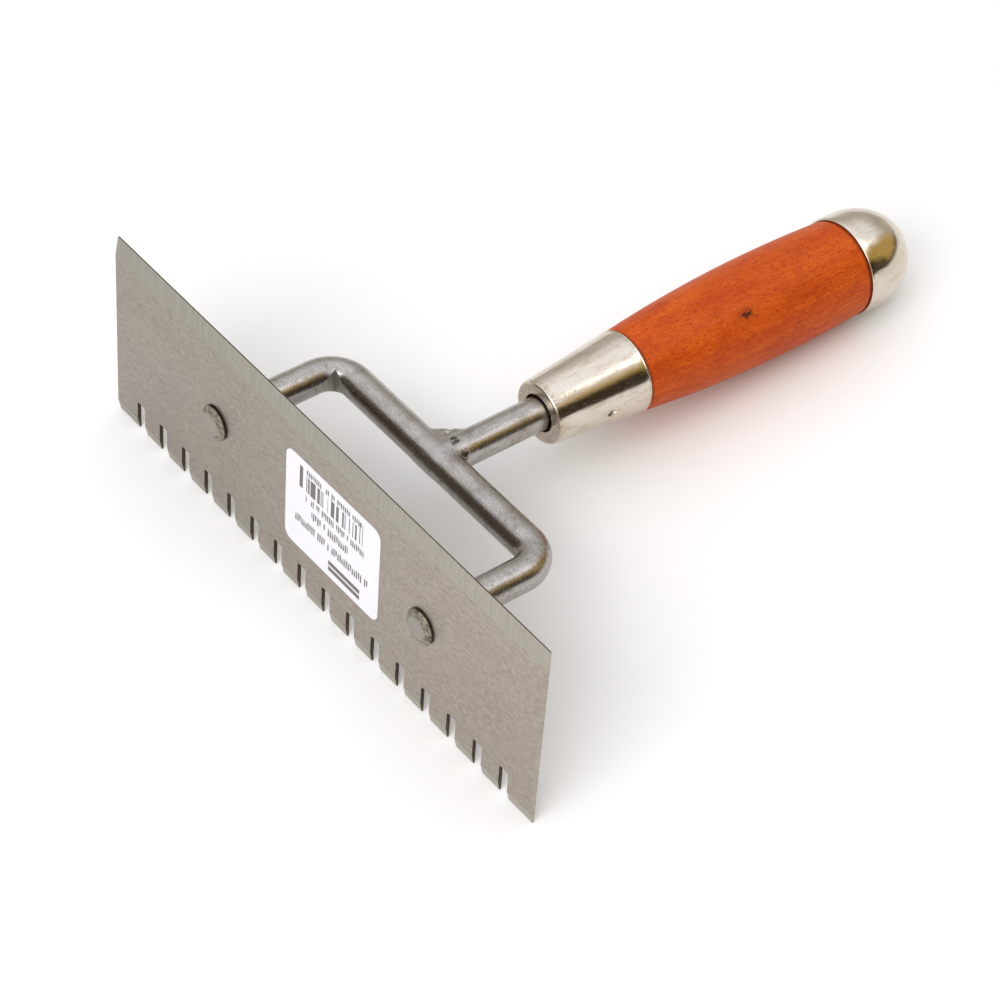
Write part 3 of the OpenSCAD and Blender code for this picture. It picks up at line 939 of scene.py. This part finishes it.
def make_ferrule():
    """Drawn sheet cone with a rolled-in front, a beaded back rim and one punched mark."""
    back = FERRULE_Y + FERRULE_LEN
    inside_front = FERRULE_Y + FERRULE_FRONT_T
    outline = [(FERRULE_HOLE_R, inside_front), (FERRULE_HOLE_R, FERRULE_Y + 0.35)]
    outline += arc(0.35, FERRULE_HOLE_R + 0.35, FERRULE_Y + 0.35, 200, 270, 3)
    outline += [(6.4, FERRULE_Y + 0.02), (7.4, FERRULE_Y)]
    outline += arc(1.0, FERRULE_FRONT_R - 1.0, FERRULE_Y + 1.0, -80, 0, 6)
    steps = 22
    body = FERRULE_LEN - 2.2
    for i in range(1, steps + 1):
        along = body * i / steps
        outline.append((FERRULE_FRONT_R + FERRULE_SLOPE * (1.0 + along), FERRULE_Y + 1.0 + along))
    outline += arc(0.32, FERRULE_BACK_R - 0.30, back - 0.42, -60, 110, 7)
    outline += [(FERRULE_BACK_R - FERRULE_WALL, back - 0.3), (FERRULE_FRONT_INNER, inside_front)]
    outline.append(outline[0])
    ferrule = turned("ferrule_shell", outline, 112)
    ripple(ferrule, 5.5, 0.05)

    punch = fresh(
        bpy.ops.mesh.primitive_cone_add, "mark_punch", vertices=4, radius1=1.5, radius2=0.8,
        depth=0.9, rotation=(math.pi, 0, 0),
    )
    punch.scale = (0.75, 1.1, 1)
    settle(punch)
    turn = math.radians(BRAD_TURN)
    skin = FERRULE_FRONT_R + FERRULE_SLOPE * BRAD_Y

    def at_brad(radius):
        return (radius * math.sin(turn), FERRULE_Y + BRAD_Y, radius * math.cos(turn))

    mark = at_brad(skin - 0.2)
    punch.rotation_euler = (0, turn, 0)
    punch.location = mark
    settle(punch)
    drill = fresh(
        bpy.ops.mesh.primitive_cylinder_add, "brad_drill", vertices=24, radius=BRAD_R + 0.02,
        depth=BRAD_LEN, location=mark, rotation=(0, turn, 0),
    )
    settle(drill)
    for cutter in (punch, drill):
        cut_away(ferrule, cutter)
    smooth(ferrule, 40)
    plate = nickel_finish("nickel_ferrule", 1.0, mark)
    hand_over(ferrule, "ferrule", "nickel_plate", plate)

    brad = fresh(
        bpy.ops.mesh.primitive_cylinder_add, "ferrule_nail", vertices=24, radius=BRAD_R,
        depth=BRAD_LEN,
    )
    edit(brad, "FACE")
    pick(brad, "faces", lambda face: face.normal.z > 0.9)
    bpy.ops.mesh.inset(thickness=0.2)
    bpy.ops.transform.translate(value=(0, 0, -0.04))
    done()
    brad.rotation_euler = (0, turn, 0)
    brad.location = at_brad(skin - 0.25 - BRAD_LEN / 2)
    settle(brad)
    smooth(brad, 40)
    hand_over(brad, "ferrule_brad", "brad_steel", tarnish_finish())


# ------------------------------------------------------------ grip and cap


def make_grip():
    """Turned swell with its hidden nose and spigot, and a short bore for the stem."""
    def swell(s):
        bend = (GRIP_BELLY_R - GRIP_FRONT_R) / BELLY_Y ** 2
        return GRIP_BELLY_R - bend * (s - BELLY_Y) ** 2

    nose_front = FERRULE_Y + FERRULE_FRONT_T + CLEARANCE
    nose_back_r = FERRULE_BACK_R - FERRULE_WALL - CLEARANCE
    spigot = CAP_R - CAP_SHEET - CLEARANCE
    bore = STEM_R + CLEARANCE
    end = GRIP_Y + GRIP_LEN
    steps = 60
    outline = [(bore, nose_front), (FERRULE_FRONT_INNER - CLEARANCE, nose_front),
               (nose_back_r, GRIP_Y - 0.25), (nose_back_r, GRIP_Y + 0.02),
               (GRIP_FRONT_R - 0.25, GRIP_Y + 0.03)]
    outline += [(swell(GRIP_LEN * i / steps), GRIP_Y + GRIP_LEN * i / steps)
                for i in range(1, steps)]
    outline += [(swell(GRIP_LEN) - 0.02, end - 0.25), (swell(GRIP_LEN) - 0.3, end)]
    outline += [(spigot, end), (spigot, end + 7.5), (spigot - 1.5, end + 9), (0, end + 9)]
    grip = turned("wooden_grip", outline, 128)
    edit(grip)
    pick(grip, "verts", lambda v: abs(math.hypot(v.co.x, v.co.z) - bore) < NEAR
         and v.co.y < FERRULE_Y + 2)
    bore_depth = 3.2
    pull_ring((0, bore_depth, 0))
    bpy.ops.mesh.edge_face_add()
    close_up()
    done()
    smooth(grip, 40)
    hand_over(grip, "grip", "varnished_wood", wood_finish())


def make_cap():
    """Pressed cap: rolled rim, short wall and a dome, as one sheet."""
    def dome(radius, length, steps):
        angles = [math.radians(90 * i / steps) for i in range(steps + 1)]
        return [(radius * math.cos(a), CAP_Y + CAP_WALL + length * math.sin(a)) for a in angles]

    inside = CAP_R - CAP_SHEET
    outline = [(inside, CAP_Y + 0.3)]
    outline += arc(0.4, CAP_R - 0.4, CAP_Y + 0.4, -130, 0, 6)
    outline += [(CAP_R, CAP_Y + 2.5)]
    outline += dome(CAP_R, CAP_DOME, 32)
    outline[-1] = (0, outline[-1][1])
    outline += [(max(r, 0), d) for r, d in reversed(dome(inside, CAP_DOME - CAP_SHEET, 20))]
    outline.append(outline[0])
    cap = turned("domed_cap", outline, 112)
    ripple(cap, 7.0, 0.05)
    smooth(cap, 40)
    hand_over(cap, "end_cap", "nickel_plate", nickel_finish("nickel_cap", 0.8))


# ------------------------------------------------------------ label


def make_label():
    """Paper sheet with rounded corners, pressed flat on the blade."""
    label = fresh(
        bpy.ops.mesh.primitive_plane_add, "paper_label", size=1, rotation=(QUARTER, 0, 0)
    )
    label.scale = (LABEL_W, LABEL_H, 1)
    settle(label)
    edit(label)
    bpy.ops.mesh.select_all(action="SELECT")
    bpy.ops.mesh.bevel(offset=LABEL_CORNER, segments=10, affect="VERTICES")
    bpy.ops.mesh.select_mode(type="FACE")
    bpy.ops.mesh.select_all(action="SELECT")
    bpy.ops.mesh.extrude_region_move(TRANSFORM_OT_translate={"value": (0, -LABEL_T, 0)})
    close_up()
    pick(label, "faces", lambda face: face.normal.y < -0.9)
    bpy.ops.mesh.inset(thickness=0.08)
    done()
    label.rotation_euler = (0, -math.radians(LABEL_TURN), 0)
    label.location = (LABEL_X, 0, LABEL_Z)
    settle(label)
    hand_over(label, "label", "label_paper", label_finish())


# ------------------------------------------------------------ studio


FLOOR_SIZE = 5

# Soft boxes: name, place, what it looks at, width and height in metres, watts
SOFT_BOXES = (
    ("front_box", (0.40, -1.05, 0.95), (0, 0.02, 0), 1.0, 0.8, 9.0),
    ("back_box", (0.45, 0.70, 1.05), (0, 0.05, 0.02), 0.5, 0.4, 0.65),
)

CAMERA_LENS, CAMERA_SENSOR, CAMERA_NEAREST = 123.29, 36, 0.05
CAMERA_PLACE = (0.48901, -0.41572, 0.66051)
CAMERA_TURN = (43.0143, 0.2983, 52.1041)


def make_floor():
    """Pale table."""
    floor = fresh(bpy.ops.mesh.primitive_plane_add, "floor", size=1)
    floor.scale = (FLOOR_SIZE, FLOOR_SIZE, 1)
    settle(floor)
    f = Finish("pale_table")
    spot = f.node("ShaderNodeTexCoord", {}, {}, "Object")
    shade = f.noise(spot, 6.0, detail=2)
    tint = f.mix(shade, (0.89, 0.885, 0.875), (0.90, 0.895, 0.885))
    floor.data.materials.append(f.surface(Base_Color=tint, Roughness=0.85))


def make_room():
    """A bright sky, a warm curtain out between x and y, and a dark wall out along x."""
    world = bpy.data.worlds.new("studio")
    bpy.context.scene.world = world
    room = Room(world)
    direction = room.node("ShaderNodeTexCoord", {}, {}, "Generated")
    x, y, height = room.axes(direction)
    sky = room.mix(height.ramp(0.30, 0.95), (0.60, 0.57, 0.52), (1.28, 1.30, 1.36))
    curtain = room.mix(height.ramp(0.0, 0.24), (0.10, 0.07, 0.04), (0.62, 0.43, 0.13))
    sky = room.mix((x * 0.71 + y * 0.71).ramp(0.58, 0.82), sky, curtain)
    sky = room.mix((x * 0.985 + y * 0.17).ramp(0.73, 0.87), sky, (0.045, 0.030, 0.015))
    room.node(
        "ShaderNodeOutputWorld", {},
        {"Surface": room.node("ShaderNodeBackground", {}, {"Color": sky, "Strength": 1.0})},
    )


def make_lamps():
    """Soft boxes overhead."""
    for name, place, target, wide, tall, power in SOFT_BOXES:
        lamp = bpy.data.lights.new(name, "AREA")
        lamp.shape = "RECTANGLE"
        lamp.size, lamp.size_y, lamp.energy = wide, tall, power
        soft_box = bpy.data.objects.new(name, lamp)
        soft_box.location = place
        look = Vector(target) - Vector(place)
        soft_box.rotation_euler = look.to_track_quat("-Z", "Y").to_euler()
        bpy.context.scene.collection.objects.link(soft_box)


def make_camera():
    """A long lens that looks down on the blade's working face."""
    view = bpy.data.cameras.new("view")
    view.lens, view.sensor_width, view.clip_start = CAMERA_LENS, CAMERA_SENSOR, CAMERA_NEAREST
    camera = bpy.data.objects.new("view", view)
    camera.location = CAMERA_PLACE
    camera.rotation_euler = [math.radians(a) for a in CAMERA_TURN]
    bpy.context.scene.collection.objects.link(camera)
    bpy.context.scene.camera = camera
    bpy.context.scene.view_settings.view_transform = "Standard"


make_floor()
make_room()
make_lamps()
make_camera()
make_blade()
make_stirrup()
make_stem()
make_weld()
make_ferrule()
make_grip()
make_cap()
make_label()
